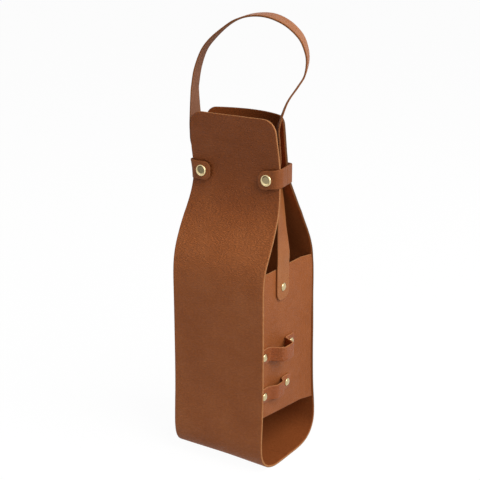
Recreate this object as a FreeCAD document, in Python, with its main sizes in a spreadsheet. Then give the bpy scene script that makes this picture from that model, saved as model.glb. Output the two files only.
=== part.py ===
import FreeCAD
import Part
import Sketcher
import math
import os
from types import SimpleNamespace

Vector = FreeCAD.Vector
Placement = FreeCAD.Placement
Rotation = FreeCAD.Rotation

# Driving dimensions in millimetres. Heights are above the floor, reaches are from the centre planes.
SIZES = {
    # one leather sheet: front panel, base, back panel and a neck flap at each end
    "sheet_width": 105.0,
    "sheet_thick": 2.6,
    "body_depth": 102.0,
    "foot_bend_radius": 25.7,
    "shoulder_height": 204.3,
    "neck_rise_height": 67.7,
    "flare_rise_height": 12.0,
    "flap_rise_height": 47.0,
    "back_flap_extra_height": 2.5,
    "flap_neck_inset": 2.0,
    "flap_top_inset": 4.3,
    "front_neck_reach": 17.1,
    "front_top_reach": 20.4,
    "back_top_reach": 14.3,
    "back_top_bow_depth": 14.7,
    "neck_bend_radius": 88.0,
    "flare_bend_radius": 80.0,
    "flap_corner_radius": 12.0,
    "back_flap_corner_radius": 8.0,
    "fold_gap": 0.3,
    "fold_ease_gap": 0.05,
    "strap_fold_gap": 0.6,
    # side panels, flanged against the sheet
    "panel_thick": 2.0,
    "panel_rear_bottom_height": 49.0,
    "panel_front_bottom_height": 61.0,
    "panel_rise_height": 6.7,
    "panel_set_back_width": 4.5,
    "flange_set_back_width": 0.6,
    "panel_bend_radius": 2.6,
    "panel_corner_drop_height": 10.0,
    # carrying strap
    "handle_width": 22.0,
    "handle_thick": 1.8,
    "handle_foot_drop_height": 33.0,
    "handle_foot_corner_radius": 8.0,
    "handle_rivet_rise_height": 13.0,
    "handle_forward_reach": 7.0,
    "handle_seat_gap": 0.3,
    "handle_side_gap": 1.0,
    "handle_tilt_rise_height": 16.0,
    "handle_tilt_reach": 11.0,
    "handle_knuckle_radius": 13.6,
    "handle_knuckle_gap": 0.8,
    "handle_rise_height": 79.3,
    "handle_reach": 70.4,
    # neck straps, riveted to the back flap and snapped to the front flap
    "strap_rise_height": 29.0,
    "strap_width": 19.0,
    "strap_thick": 2.0,
    "strap_side_gap": 1.5,
    "strap_lean_width": 1.3,
    "strap_bend_radius": 4.0,
    "strap_corner_drop_width": 3.4,
    "strap_seat_gap": 0.6,
    "anchor_set_in_width": 3.4,
    "anchor_rivet_spacing": 20.6,
    "anchor_end_margin": 10.0,
    "anchor_back_gap": 0.8,
    "tab_gap": 2.1,
    "tab_end_margin": 9.5,
    "tab_corner_radius": 5.0,
    "tab_fold_set_width": 5.2,
    # opener loops on the right side panel
    "keeper_strip_width": 16.5,
    "keeper_strip_thick": 2.0,
    "keeper_bend_radius": 4.0,
    "keeper_front_rivet_depth": 7.8,
    "keeper_front_margin_width": 4.1,
    "keeper_rear_margin_width": 7.0,
    "keeper_foot_bend_radius": 1.6,
    "lower_keeper_height": 84.2,
    "lower_keeper_rear_rivet_depth": 51.1,
    "lower_keeper_front_foot_depth": 17.4,
    "lower_keeper_rear_foot_depth": 42.4,
    "lower_keeper_bulge_height": 6.0,
    "upper_keeper_height": 126.5,
    "upper_keeper_rear_rivet_depth": 58.4,
    "upper_keeper_front_foot_depth": 17.4,
    "upper_keeper_rear_foot_depth": 49.2,
    "upper_keeper_bulge_height": 13.8,
    # snaps
    "snap_set_in_width": 15.0,
    "snap_cap_radius": 5.9,
    "snap_cap_height": 1.7,
    "snap_cap_dish_height": 0.8,
    "snap_rim_width": 1.1,
    "snap_tube_bore_radius": 3.9,
    "snap_tube_wall_thick": 0.5,
    "snap_socket_radius": 5.6,
    "snap_socket_thick": 1.0,
    "snap_stud_radius": 4.6,
    "snap_stud_thick": 0.5,
    "snap_knob_radius": 1.5,
    "snap_knob_height": 1.1,
    "snap_post_radius": 0.9,
    "snap_post_grip_length": 0.9,
    # double-cap rivets
    "rivet_radius": 4.1,
    "rivet_height": 1.8,
    "rivet_rim_height": 0.6,
    "rivet_shank_radius": 1.5,
    "rivet_seat_gap": 0.05,
    "rivet_grip_length": 0.8,
    "rivet_back_radius": 4.0,
    "rivet_back_height": 1.5,
    "metal_fit_gap": 0.05,
    "leather_fit_gap": 0.15,
    "slant_fit_gap": 0.7,
    # how far every cutting tool runs past what it cuts
    "overrun_length": 3.0,
}

# Heights that follow from others, in the same sheet.
DERIVED_HEIGHTS = {
    "neck_height": "=shoulder_height + neck_rise_height",
    "strap_height": "=neck_height + strap_rise_height",
    "flare_height": "=strap_height + flare_rise_height",
    "flap_top_height": "=flare_height + flap_rise_height",
    "back_flap_top_height": "=flap_top_height + back_flap_extra_height",
    "panel_top_height": "=shoulder_height + panel_rise_height",
    "handle_foot_height": "=panel_top_height - handle_foot_drop_height",
    "handle_rivet_height": "=handle_foot_height + handle_rivet_rise_height",
    "handle_tilt_height": "=flap_top_height + handle_tilt_rise_height",
}

# Back flap: height share from shoulder to top, reach share from top to shoulder, bow share of the top's bow.
BACK_FLAP_SHARES = (
    (0.0, 1.0, 0.004),
    (0.175, 0.681, 0.02),
    (0.358, 0.341, 0.075),
    (0.453, 0.191, 0.303),
    (0.542, 0.071, 0.483),
    (0.681, 0.033, 0.789),
    (0.769, 0.025, 0.898),
    (0.883, 0.014, 0.942),
    (1.0, 0.0, 1.0),
)

# Strap strands from panel top to flap top: height share, width share, share of the gap between the flaps.
# The last column is how far the strap turns about the vertical, in degrees.
RIGHT_STRAND_SHARES = (
    (0.10, 0.940, 0.41, 0.0),
    (0.26, 0.865, 0.41, 10.0),
    (0.48, 0.810, 0.43, 20.0),
    (0.62, 0.800, 0.45, 32.0),
    (0.74, 0.800, 0.47, 42.0),
    (0.86, 0.815, 0.43, 44.0),
    (0.96, 0.870, 0.37, 41.0),
)
LEFT_STRAND_SHARES = (
    (0.10, 0.940, 0.41, 0.0),
    (0.26, 0.870, 0.41, -8.0),
    (0.48, 0.820, 0.43, -20.0),
    (0.62, 0.790, 0.46, -34.0),
    (0.69, 0.805, 0.47, -46.0),
    (0.77, 0.905, 0.41, -48.0),
    (0.86, 1.000, 0.235, -24.0),
    (0.94, 0.995, 0.34, 0.0),
)

# Strap loop from the right to the left tilt knuckle: width share of the loop's reach, depth share of half
# the body's depth, height share of the loop's rise, turn about the vertical and droop of the rear edge,
# both in degrees.
LOOP_SHARES = (
    (0.763, -0.186, 0.0, 33.0, 16.0),
    (0.866, -0.080, 0.190, 33.0, 17.0),
    (0.938, 0.010, 0.320, 33.0, 17.0),
    (0.980, 0.040, 0.500, 32.0, 14.0),
    (0.950, 0.020, 0.660, 30.0, 7.0),
    (0.865, -0.010, 0.800, 26.0, 0.0),
    (0.695, -0.050, 0.940, 22.0, -5.0),
    (0.450, -0.090, 1.010, 20.0, -4.0),
    (0.190, -0.130, 0.995, 23.0, 5.0),
    (-0.050, -0.165, 0.935, 28.0, 14.0),
    (-0.260, -0.190, 0.840, 31.0, 16.0),
    (-0.448, -0.210, 0.700, 29.0, 14.0),
    (-0.578, -0.220, 0.535, 25.0, 8.0),
    (-0.660, -0.225, 0.320, 20.0, 3.0),
    (-0.714, -0.225, 0.120, 17.0, 0.0),
    (-0.732, -0.225, 0.0, 16.0, 0.0),
)

doc = FreeCAD.newDocument("bottle_carrier")
sheet = doc.addObject("Spreadsheet::Sheet", "Sizes")
cells = {**SIZES, **DERIVED_HEIGHTS}
for row, (alias, length) in enumerate(cells.items(), start=1):
    sheet.set(f"A{row}", alias)
    sheet.set(f"B{row}", str(length))
    sheet.setAlias(f"B{row}", alias)
doc.recompute()
size = SimpleNamespace(**{alias: float(sheet.get(alias)) for alias in cells})

nodes = {}

half_width = size.sheet_width / 2
neck_half = half_width - size.flap_neck_inset
top_flat_half = half_width - size.flap_top_inset
strap_reach = neck_half + size.strap_side_gap + size.strap_thick / 2
snap_reach = strap_reach - size.snap_set_in_width
tab_end = snap_reach - size.tab_end_margin
anchor_reach = strap_reach - size.anchor_set_in_width
anchor_rivet_reach = anchor_reach - size.anchor_rivet_spacing
anchor_start = anchor_rivet_reach - size.anchor_end_margin
wall_mid = (size.body_depth - size.sheet_thick) / 2
wall_inner = size.body_depth / 2 - size.sheet_thick
panel_mid = half_width - size.panel_set_back_width - size.panel_thick / 2
panel_outer = half_width - size.panel_set_back_width


def keep(label, item):
    """Name a finished sub-part, so that it is checked and written."""
    item.Label = label
    nodes[label] = item
    return item


def unit(dx, dy):
    """Direction of length one, with its left-hand normal."""
    length = math.hypot(dx, dy)
    along = Vector(dx / length, dy / length, 0)
    return along, Vector(-along.y, along.x, 0)


# Outlines of bent strips


def bend_corners(points, bends):
    """Corner arcs of a path: start, end, centre, radius and side (1 turns left) at each inner point."""
    corners = []
    for index, bend in enumerate(bends, start=1):
        here = Vector(*points[index], 0)
        before = here - Vector(*points[index - 1], 0)
        after = Vector(*points[index + 1], 0) - here
        ahead, left = unit(before.x, before.y)
        onward, _ = unit(after.x, after.y)
        turn = math.atan2(ahead.x * onward.y - ahead.y * onward.x, ahead.dot(onward))
        side = math.copysign(1, turn)
        radius = getattr(size, bend)
        reach = radius * math.tan(abs(turn) / 2)
        start = here - ahead * reach
        corners.append((start, here + onward * reach, start + left * side * radius, radius, side))
    return corners


def arc_edge(centre, radius, start, end, side):
    """Arc from start to end as a sketch edge, with the point numbers of its start and end."""
    first, last = (start, end) if side > 0 else (end, start)
    first_angle = math.atan2(first.y - centre.y, first.x - centre.x)
    last_angle = math.atan2(last.y - centre.y, last.x - centre.x)
    circle = Part.Circle(centre, Vector(0, 0, 1), radius)
    arc = Part.ArcOfCircle(circle, first_angle, last_angle)
    return (arc, 1, 2) if side > 0 else (arc, 2, 1)


def strip_outline(points, bends, thick, caps):
    """Closed outline of a strip of leather along a bent path, with what each edge is bound to.

    A cap is flat, round (centred on the path's end) or hollow (clear of a round end there)."""
    half = getattr(size, thick) / 2
    corners = bend_corners(points, bends)
    hollow = half + size.fold_gap
    drop = math.sqrt(hollow * hollow - half * half)
    first, last = Vector(*points[0], 0), Vector(*points[-1], 0)
    out_start, left_start = unit(points[1][0] - points[0][0], points[1][1] - points[0][1])
    out_end, left_end = unit(points[-1][0] - points[-2][0], points[-1][1] - points[-2][1])
    begin = first + out_start * (drop if caps[0] == "hollow" else 0)
    finish = last - out_end * (drop if caps[1] == "hollow" else 0)

    def run(side):
        edges, here = [], begin + left_start * half * side
        for start, end, centre, radius, turn in corners:
            reach = radius - turn * side * half
            arc_start = centre + (start - centre) * (reach / radius)
            arc_end = centre + (end - centre) * (reach / radius)
            edges.append(((Part.LineSegment(here, arc_start), 1, 2), None))
            edges.append((arc_edge(centre, reach, arc_start, arc_end, turn), (turn * side, reach)))
            here = arc_end
        edges.append(((Part.LineSegment(here, finish + left_end * half * side), 1, 2), None))
        return edges

    def cap(kind, end, outward, left):
        ahead, behind = end + left * half, end - left * half
        if kind == "flat":
            return (Part.LineSegment(ahead, behind), 1, 2), thick
        if kind == "round":
            return arc_edge(end, half, ahead, behind, -1), None
        pivot = end + outward * drop
        return arc_edge(pivot, hollow, ahead, behind, 1), None

    def backward(edge):
        (geometry, start, end), bound = edge
        return (geometry, end, start), bound

    outline = run(1)
    outline.append(cap(caps[1], finish, out_end, left_end))
    outline.extend(backward(edge) for edge in reversed(run(-1)))
    outline.append(cap(caps[0], begin, out_start * -1, left_start * -1))
    return outline


def origin_plane(body, role):
    return next(item for item in body.Origin.OriginFeatures if item.Role == role)


def new_sketch(body, role, name, level=None):
    """Sketch on one of the body's origin planes, raised to a level given as an expression."""
    sketch = body.newObject("Sketcher::SketchObject", name)
    sketch.AttachmentSupport = [(origin_plane(body, role), "")]
    sketch.MapMode = "FlatFace"
    if level is not None:
        sketch.setExpression("AttachmentOffset.Base.z", level)
    return sketch


def join_outline(sketch, outline):
    """Add the edges of a closed outline and join each to the next."""
    for (geometry, _, _), _ in outline:
        sketch.addGeometry(geometry)
    for index, ((_, _, end), _) in enumerate(outline):
        after = (index + 1) % len(outline)
        start = outline[after][0][1]
        sketch.addConstraint(Sketcher.Constraint("Coincident", index, end, after, start))


def bind(sketch, constraint, expression):
    number = sketch.addConstraint(constraint)
    sketch.setExpression(f"Constraints[{number}]", expression)


def closed_outline(points, bends):
    """Closed outline through corner points, rounded at each corner that names a bend."""
    corners = []
    for index, bend in enumerate(bends):
        here = Vector(*points[index], 0)
        around = (points[index - 1], points[index], points[(index + 1) % len(points)])
        corners.append(bend_corners(around, (bend,))[0] if bend else (here, here, None, 0, 0))
    outline = []
    for index, (start, end, centre, radius, side) in enumerate(corners):
        if centre is not None:
            outline.append((arc_edge(centre, radius, start, end, side), None))
        after = corners[(index + 1) % len(corners)][0]
        outline.append(((Part.LineSegment(end, after), 1, 2), None))
    return outline


def strip(name, role, points, bends, thick, caps, width, level=None):
    """A bent strip of leather: its side view drawn on a plane and padded evenly to both sides."""
    body = doc.addObject("PartDesign::Body", name)
    sketch = new_sketch(body, role, f"{name}_outline", level)
    outline = strip_outline(points, bends, thick, caps)
    join_outline(sketch, outline)
    arcs = iter(list(bends) + list(reversed(bends)))
    for index, (_, bound) in enumerate(outline):
        if bound == thick:
            length = getattr(size, thick)
            bind(sketch, Sketcher.Constraint("Distance", index, length), f"Sizes.{thick}")
        elif bound is not None:
            inner, reach = bound
            sign = "-" if inner > 0 else "+"
            expression = f"Sizes.{next(arcs)} {sign} Sizes.{thick} / 2"
            bind(sketch, Sketcher.Constraint("Radius", index, reach), expression)
    pad = body.newObject("PartDesign::Pad", f"{name}_pad")
    pad.Profile = sketch
    pad.SideType = "Symmetric"
    pad.setExpression("Length", width)
    return body


# Tools for holes and trimmed corners


def cylinder(name, radius, height, base, direction):
    """Round tool or pin, with its radius and height as expressions, from a base point along a direction."""
    tool = doc.addObject("Part::Cylinder", name)
    tool.setExpression("Radius", radius)
    tool.setExpression("Height", height)
    tool.Placement = Placement(base, Rotation(Vector(0, 0, 1), direction))
    return tool


def box(name, lengths, base):
    """Square-cornered tool, with its three lengths as expressions."""
    tool = doc.addObject("Part::Box", name)
    for side, length in zip(("Length", "Width", "Height"), lengths):
        tool.setExpression(side, length)
    tool.Placement = Placement(base, Rotation())
    return tool


def corner_tool(name, radius, centre, across, rise):
    """What a square corner loses when it is rounded: a block less a disc about the rounding's centre.

    The corner lies across and up (rise 1) or down (rise -1) from the centre. The tool runs the body's depth.
    """
    long = getattr(size, radius) + size.overrun_length
    through = Vector(abs(across.y), abs(across.x), 0)
    base = centre - through * (size.body_depth / 2)
    base += Vector(min(across.x, 0), min(across.y, 0), min(rise, 0)) * long
    lengths = [f"Sizes.{radius} + Sizes.overrun_length"] * 3
    lengths[0 if through.x else 1] = "Sizes.body_depth"
    square = box(f"{name}_block", lengths, base)
    disc = cylinder(f"{name}_disc", f"Sizes.{radius}", "Sizes.body_depth + 2 * Sizes.overrun_length",
                    centre - through * (size.body_depth / 2 + size.overrun_length), through)
    return cut(name, square, [disc])


def cut(name, base, tools):
    """Take each tool away from a piece in turn."""
    for index, tool in enumerate(tools):
        step = doc.addObject("Part::Cut", f"{name}_cut_{index}")
        step.Base = base
        step.Tool = tool
        base = step
    return base


def round_edges(name, base, radius, wanted):
    """Round the straight edges of a piece whose middle passes a test."""
    doc.recompute()
    chosen = [
        number
        for number, edge in enumerate(base.Shape.Edges, start=1)
        if wanted(edge)
    ]
    rounded = doc.addObject("Part::Fillet", name)
    rounded.Base = base
    rounded.Edges = [(number, radius, radius) for number in chosen]
    return rounded


# The sheet: a U of front panel, base and back panel, with a fold line at each shoulder

sheet_path = (
    (-wall_mid, size.shoulder_height),
    (-wall_mid, size.sheet_thick / 2),
    (wall_mid, size.sheet_thick / 2),
    (wall_mid, size.shoulder_height),
)
keep(
    "body_sheet",
    strip("sheet", "YZ_Plane", sheet_path, ("foot_bend_radius", "foot_bend_radius"), "sheet_thick",
          ("hollow", "hollow"), "Sizes.sheet_width"),
)

# Front flap: leans in from the shoulder, stands upright at the neck and flares at its top edge

front_path = (
    (-wall_mid, size.shoulder_height),
    (size.sheet_thick / 2 - size.front_neck_reach, size.neck_height),
    (size.sheet_thick / 2 - size.front_neck_reach, size.flare_height),
    (size.sheet_thick / 2 - size.front_top_reach, size.flap_top_height),
)
front_blank = strip("front_flap_blank", "YZ_Plane", front_path, ("neck_bend_radius", "flare_bend_radius"),
                    "sheet_thick",
                    ("round", "flat"), "Sizes.sheet_width")
flap_tool = doc.addObject("PartDesign::Body", "front_flap_cut_out")
flap_outline = [(half_width, size.shoulder_height - size.sheet_thick)]
flap_outline += [(half_width, size.shoulder_height)]
flap_outline += [(neck_half, size.strap_height)]
flap_outline += [(top_flat_half, size.flap_top_height)]
flap_outline += [(-across, height) for across, height in reversed(flap_outline)]
flap_bends = (None, None, None, "flap_corner_radius", "flap_corner_radius", None, None, None)
flap_sketch = new_sketch(flap_tool, "XZ_Plane", "front_flap_outline")
join_outline(flap_sketch, closed_outline(flap_outline, flap_bends))
flap_pad = flap_tool.newObject("PartDesign::Pad", "front_flap_outline_pad")
flap_pad.Profile = flap_sketch
flap_pad.SideType = "Symmetric"
flap_pad.setExpression("Length", "2 * Sizes.body_depth")
front_rounded = doc.addObject("Part::Common", "front_flap_shaped")
front_rounded.Base = front_blank
front_rounded.Tool = flap_tool
stud_holes = [
    cylinder(f"stud_hole_{name}", "Sizes.snap_post_radius + Sizes.leather_fit_gap", "Sizes.body_depth / 2",
             Vector(side * snap_reach, -size.body_depth / 2, size.strap_height), Vector(0, 1, 0))
    for name, side in (("right", 1), ("left", -1))
]
keep("front_flap", cut("front_flap", front_rounded, stud_holes))


# Back flap: bowed round the neck, so its side edges come forward and closer together


def flap_half(height):
    """Half the width that either flap is cut to, narrowing from shoulder to strap and on to its top."""
    if height < size.strap_height:
        share = (height - size.shoulder_height) / (size.strap_height - size.shoulder_height)
        return half_width + share * (neck_half - half_width)
    share = (height - size.strap_height) / (size.flap_top_height - size.strap_height)
    return neck_half + share * (top_flat_half - neck_half)


def back_row(height_share, reach_share, bow_share):
    """Height, middle reach, bow and half width of the back flap's middle surface at one level."""
    height = size.shoulder_height + height_share * (size.back_flap_top_height - size.shoulder_height)
    top = size.back_top_reach - size.sheet_thick / 2
    reach = top + reach_share * (wall_mid - top)
    bow = bow_share * size.back_top_bow_depth
    flat_half = flap_half(height)
    half = flat_half - 2 * bow * bow / (3 * flat_half)
    return height, reach, bow, half


back_rows = [back_row(*shares) for shares in BACK_FLAP_SHARES]


def back_at(height):
    """Middle reach, bow and half width of the back flap at any height between its rows."""
    for low, high in zip(back_rows, back_rows[1:]):
        if height <= high[0]:
            share = (height - low[0]) / (high[0] - low[0])
            return [a + share * (b - a) for a, b in zip(low[1:], high[1:])]
    return list(back_rows[-1][1:])


def back_mid(across, height):
    reach, bow, half = back_at(height)
    return reach - bow * (across / half) ** 2


def front_inner(height):
    """Inner face of the front flap, as if its bends were sharp."""
    if height < size.neck_height:
        share = (height - size.shoulder_height) / (size.neck_height - size.shoulder_height)
        return size.sheet_thick / 2 - wall_mid + share * (wall_mid - size.front_neck_reach)
    share = max(0, (height - size.flare_height) / (size.flap_top_height - size.flare_height))
    reach = size.front_neck_reach + share * (size.front_top_reach - size.front_neck_reach)
    return size.sheet_thick - reach


back_body = doc.addObject("PartDesign::Body", "back_flap_blank")
back_sketches = []
for index, (height, reach, bow, half) in enumerate(back_rows):
    low = back_rows[max(index - 1, 0)]
    high = back_rows[min(index + 1, len(back_rows) - 1)]
    lean = math.atan2(low[1] - high[1], high[0] - low[0])
    skin = size.sheet_thick / math.cos(lean) / 2
    sketch = new_sketch(back_body, "XY_Plane", f"back_flap_row_{index}")
    sketch.AttachmentOffset = Placement(Vector(0, 0, height), Rotation())
    faces = []
    for side in (1, -1):
        start = Vector(half, reach - bow + side * skin, 0)
        middle = Vector(0, reach + side * skin, 0)
        end = Vector(-half, reach - bow + side * skin, 0)
        faces.append((start, Part.Arc(start, middle, end), end))
    outer, inner = faces
    sketch.addGeometry(outer[1])
    sketch.addGeometry(Part.LineSegment(outer[2], inner[2]))
    sketch.addGeometry(inner[1])
    sketch.addGeometry(Part.LineSegment(inner[0], outer[0]))
    sketch.addConstraint(Sketcher.Constraint("Coincident", 0, 2, 1, 1))
    sketch.addConstraint(Sketcher.Constraint("Coincident", 1, 2, 2, 2))
    sketch.addConstraint(Sketcher.Constraint("Coincident", 2, 1, 3, 1))
    sketch.addConstraint(Sketcher.Constraint("Coincident", 3, 2, 0, 1))
    back_sketches.append(sketch)
back_loft = back_body.newObject("PartDesign::AdditiveLoft", "back_flap_loft")
back_loft.Profile = back_sketches[0]
back_loft.Sections = back_sketches[1:]
back_loft.Ruled = True

back_fold = cylinder("back_fold", "Sizes.sheet_thick / 2 - Sizes.fold_ease_gap",
                     "Sizes.sheet_width - 2 * Sizes.sheet_thick",
                     Vector(size.sheet_thick - half_width, wall_mid, size.shoulder_height), Vector(1, 0, 0))
back_fused = doc.addObject("Part::Fuse", "back_flap_folded")
back_fused.Base = back_body
back_fused.Tool = back_fold

top_half = back_rows[-1][3]
back_tools = []
for name, side in (("right", 1), ("left", -1)):
    corner = size.back_flap_corner_radius
    centre = Vector(side * (top_half - corner), 0, size.back_flap_top_height - corner)
    back_tools.append(corner_tool(f"back_corner_{name}", "back_flap_corner_radius", centre,
                                  Vector(side, 0, 0), 1))

# Neck straps: an anchor on the back flap, a side that wraps the edges and a tab that snaps to the front

strap_bottom = size.strap_height - size.strap_width / 2
tab_mid = size.front_neck_reach + size.tab_gap + size.strap_thick / 2
touch = anchor_rivet_reach
slope = -2 * back_at(strap_bottom)[1] * touch / back_at(strap_bottom)[2] ** 2
anchor_along, anchor_out = unit(1, slope)
seat_offset = size.sheet_thick / 2 + size.strap_seat_gap + size.strap_thick / 2
anchor_touch = Vector(touch, back_mid(touch, strap_bottom), 0) + anchor_out * seat_offset


def on_anchor(across):
    """Point of the anchor's middle line at a distance from the centre plane."""
    return anchor_touch.x + (across - touch), anchor_touch.y + slope * (across - touch)


rear_fold = on_anchor(anchor_reach)
front_fold = (strap_reach, size.tab_fold_set_width - tab_mid)
fold_set_back = size.strap_thick + size.strap_fold_gap
anchor_outline = (on_anchor(anchor_start), on_anchor(anchor_reach - fold_set_back * anchor_along.x))
side_outline = (
    rear_fold,
    (strap_reach - size.strap_lean_width, rear_fold[1] - size.strap_corner_drop_width),
    (strap_reach, front_fold[1] + fold_set_back),
)
tab_outline = (front_fold, (strap_reach, -tab_mid), (tab_end, -tab_mid))


def mirrored(points, side):
    return tuple((side * across, depth) for across, depth in points)


def anchor_rivet_stack():
    """Leather and play from the anchor's outer face to the back flap's inner face, along the rivet."""
    inner = back_mid(touch, size.strap_height) - size.sheet_thick / 2
    return size.strap_thick / 2 + (anchor_touch.y - inner) * anchor_out.y + size.anchor_back_gap


anchor_seat = anchor_touch + anchor_out * (size.strap_thick / 2)
for name, side in (("right", 1), ("left", -1)):
    outward = Vector(side * anchor_out.x, anchor_out.y, 0)
    seat = Vector(side * anchor_seat.x, anchor_seat.y, size.strap_height)
    drill_base = seat - outward * size.body_depth / 2
    anchor = strip(f"strap_anchor_{name}_blank", "XY_Plane", mirrored(anchor_outline, side), (),
                   "strap_thick",
                   ("flat", "round"), "Sizes.strap_width", "Sizes.strap_height")
    hole = cylinder(f"anchor_hole_{name}", "Sizes.rivet_shank_radius + Sizes.leather_fit_gap",
                    "Sizes.body_depth",
                    drill_base, outward)
    keep(f"strap_anchor_{name}", cut(f"strap_anchor_{name}", anchor, [hole]))
    back_tools.append(cylinder(f"back_flap_hole_{name}", "Sizes.rivet_shank_radius + Sizes.slant_fit_gap",
                               "Sizes.body_depth", drill_base, outward))
    keep(
        f"neck_strap_{name}",
        strip(f"neck_strap_{name}_body", "XY_Plane", mirrored(side_outline, side), ("strap_bend_radius",),
              "strap_thick",
              ("round", "round"), "Sizes.strap_width", "Sizes.strap_height"),
    )
    tab = strip(f"strap_tab_{name}_blank", "XY_Plane", mirrored(tab_outline, side), ("strap_bend_radius",),
                "strap_thick",
                ("round", "flat"), "Sizes.strap_width", "Sizes.strap_height")

    def at_tab_corner(edge, side=side):
        middle = edge.BoundBox.Center
        at_end = abs(middle.x - side * tab_end) < size.strap_thick / 2
        at_rim = size.strap_width / 2 - abs(middle.z - size.strap_height) < size.strap_thick / 2
        return at_end and at_rim

    tab_rounded = round_edges(f"strap_tab_{name}_rounded", tab, size.tab_corner_radius, at_tab_corner)
    snap_hole = cylinder(f"snap_hole_{name}",
                         "Sizes.snap_tube_bore_radius + Sizes.snap_tube_wall_thick + Sizes.leather_fit_gap",
                         "Sizes.body_depth / 2",
                         Vector(side * snap_reach, -size.body_depth / 2, size.strap_height), Vector(0, 1, 0))
    keep(f"strap_tab_{name}", cut(f"strap_tab_{name}", tab_rounded, [snap_hole]))

keep("back_flap", cut("back_flap", back_fused, back_tools))

# Side panels: flat in the middle, curving out to a flange against each side of the sheet

flange_mid = wall_inner - size.panel_thick / 2
flange_end = half_width - size.flange_set_back_width
panel_outline = (
    (flange_end, -flange_mid),
    (panel_mid, -flange_mid),
    (panel_mid, flange_mid),
    (flange_end, flange_mid),
)
loop_front = size.keeper_front_rivet_depth - wall_inner
loop_rivets = (
    ("upper", size.upper_keeper_height, "upper_keeper", size.upper_keeper_rear_rivet_depth - wall_inner),
    ("lower", size.lower_keeper_height, "lower_keeper", size.lower_keeper_rear_rivet_depth - wall_inner),
)
panel_slope = doc.addObject("PartDesign::Body", "panel_slope_cut")
slope_outline = (
    (-size.body_depth / 2, 0),
    (size.body_depth / 2, 0),
    (size.body_depth / 2, size.panel_rear_bottom_height),
    (-size.body_depth / 2, size.panel_front_bottom_height),
)
slope_sketch = new_sketch(panel_slope, "YZ_Plane", "panel_slope_outline")
join_outline(slope_sketch, closed_outline(slope_outline, (None,) * len(slope_outline)))
slope_pad = panel_slope.newObject("PartDesign::Pad", "panel_slope_pad")
slope_pad.Profile = slope_sketch
slope_pad.SideType = "Symmetric"
slope_pad.setExpression("Length", "2 * Sizes.sheet_width")

for name, side in (("right", 1), ("left", -1)):
    blank = strip(f"side_panel_{name}_blank", "XY_Plane", mirrored(panel_outline, side),
                  ("panel_bend_radius", "panel_bend_radius"), "panel_thick", ("flat", "flat"),
                  "Sizes.panel_top_height - Sizes.panel_rear_bottom_height",
                  "(Sizes.panel_top_height + Sizes.panel_rear_bottom_height) / 2")
    tools = [panel_slope]
    notch = size.panel_bend_radius + size.panel_thick / 2
    low_x = panel_mid - size.panel_thick if side > 0 else -half_width
    for end, base_y in (("front", -wall_inner - size.overrun_length), ("back", wall_inner - notch)):
        tools.append(box(f"panel_notch_{name}_{end}",
                         ("Sizes.panel_set_back_width + 2 * Sizes.panel_thick",
                          "Sizes.panel_bend_radius + Sizes.panel_thick / 2 + Sizes.overrun_length",
                          "Sizes.panel_corner_drop_height + Sizes.overrun_length"),
                         Vector(low_x, base_y, size.panel_top_height - size.panel_corner_drop_height)))
    drills = [(-size.handle_forward_reach, size.handle_rivet_height)]
    if side > 0:
        drills += [(loop_front, height) for _, height, _, _ in loop_rivets]
        drills += [(rear, height) for _, height, _, rear in loop_rivets]
    for index, (depth, height) in enumerate(drills):
        tools.append(cylinder(f"panel_hole_{name}_{index}",
                              "Sizes.rivet_shank_radius + Sizes.leather_fit_gap",
                              "Sizes.sheet_width / 2", Vector(0, depth, height), Vector(side, 0, 0)))
    keep(f"side_panel_{name}", cut(f"side_panel_{name}", blank, tools))

# Opener loops: two strips on the right side panel, standing off it between their rivets

CROWN_BENDS = ("keeper_bend_radius", "keeper_bend_radius")
LOOP_BENDS = ("keeper_foot_bend_radius", *CROWN_BENDS, "keeper_foot_bend_radius")
strip_mid = panel_outer + size.keeper_strip_thick / 2
for name, height, prefix, rear in loop_rivets:
    bulge = getattr(size, f"{prefix}_bulge_height")
    front_foot = getattr(size, f"{prefix}_front_foot_depth") - wall_inner
    rear_foot = getattr(size, f"{prefix}_rear_foot_depth") - wall_inner
    crown = strip_mid + bulge
    lean = (rear_foot - front_foot) / 4
    loop_outline = (
        (strip_mid, loop_front - size.keeper_front_margin_width),
        (strip_mid, front_foot),
        (crown, front_foot + lean),
        (crown, rear_foot - lean),
        (strip_mid, rear_foot),
        (strip_mid, rear + size.keeper_rear_margin_width),
    )
    blank = strip(f"opener_loop_{name}_blank", "XY_Plane", loop_outline, LOOP_BENDS, "keeper_strip_thick",
                  ("flat", "flat"), "Sizes.keeper_strip_width", f"Sizes.{prefix}_height")
    holes = [
        cylinder(f"opener_loop_{name}_hole_{index}", "Sizes.rivet_shank_radius + Sizes.leather_fit_gap",
                 "Sizes.sheet_width / 2", Vector(0, depth, height), Vector(1, 0, 0))
        for index, depth in enumerate((loop_front, rear))
    ]
    keep(f"opener_loop_{name}", cut(f"opener_loop_{name}", blank, holes))

# Carrying strap: two strands from the side panels up through the neck, and a loop that tilts above it


def strap_section(name, place, ahead, turn, droop):
    """One cross section of the strap: its width turned about the vertical, drooped and square to its run."""
    along = Vector(ahead).normalize()
    flat = math.cos(math.radians(droop))
    level = Vector(-math.sin(math.radians(turn)) * flat, math.cos(math.radians(turn)) * flat,
                   -math.sin(math.radians(droop)))
    across = (level - along * level.dot(along)).normalize()
    through = across.cross(along)
    section = doc.addObject("Part::Plane", name)
    section.setExpression("Length", "Sizes.handle_width")
    section.setExpression("Width", "Sizes.handle_thick")
    corner = place - across * (size.handle_width / 2) - through * (size.handle_thick / 2)
    section.Placement = Placement(corner, Rotation(across, through, along, "XYZ"))
    return section


STEPS_BETWEEN_STATIONS = 3


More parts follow.
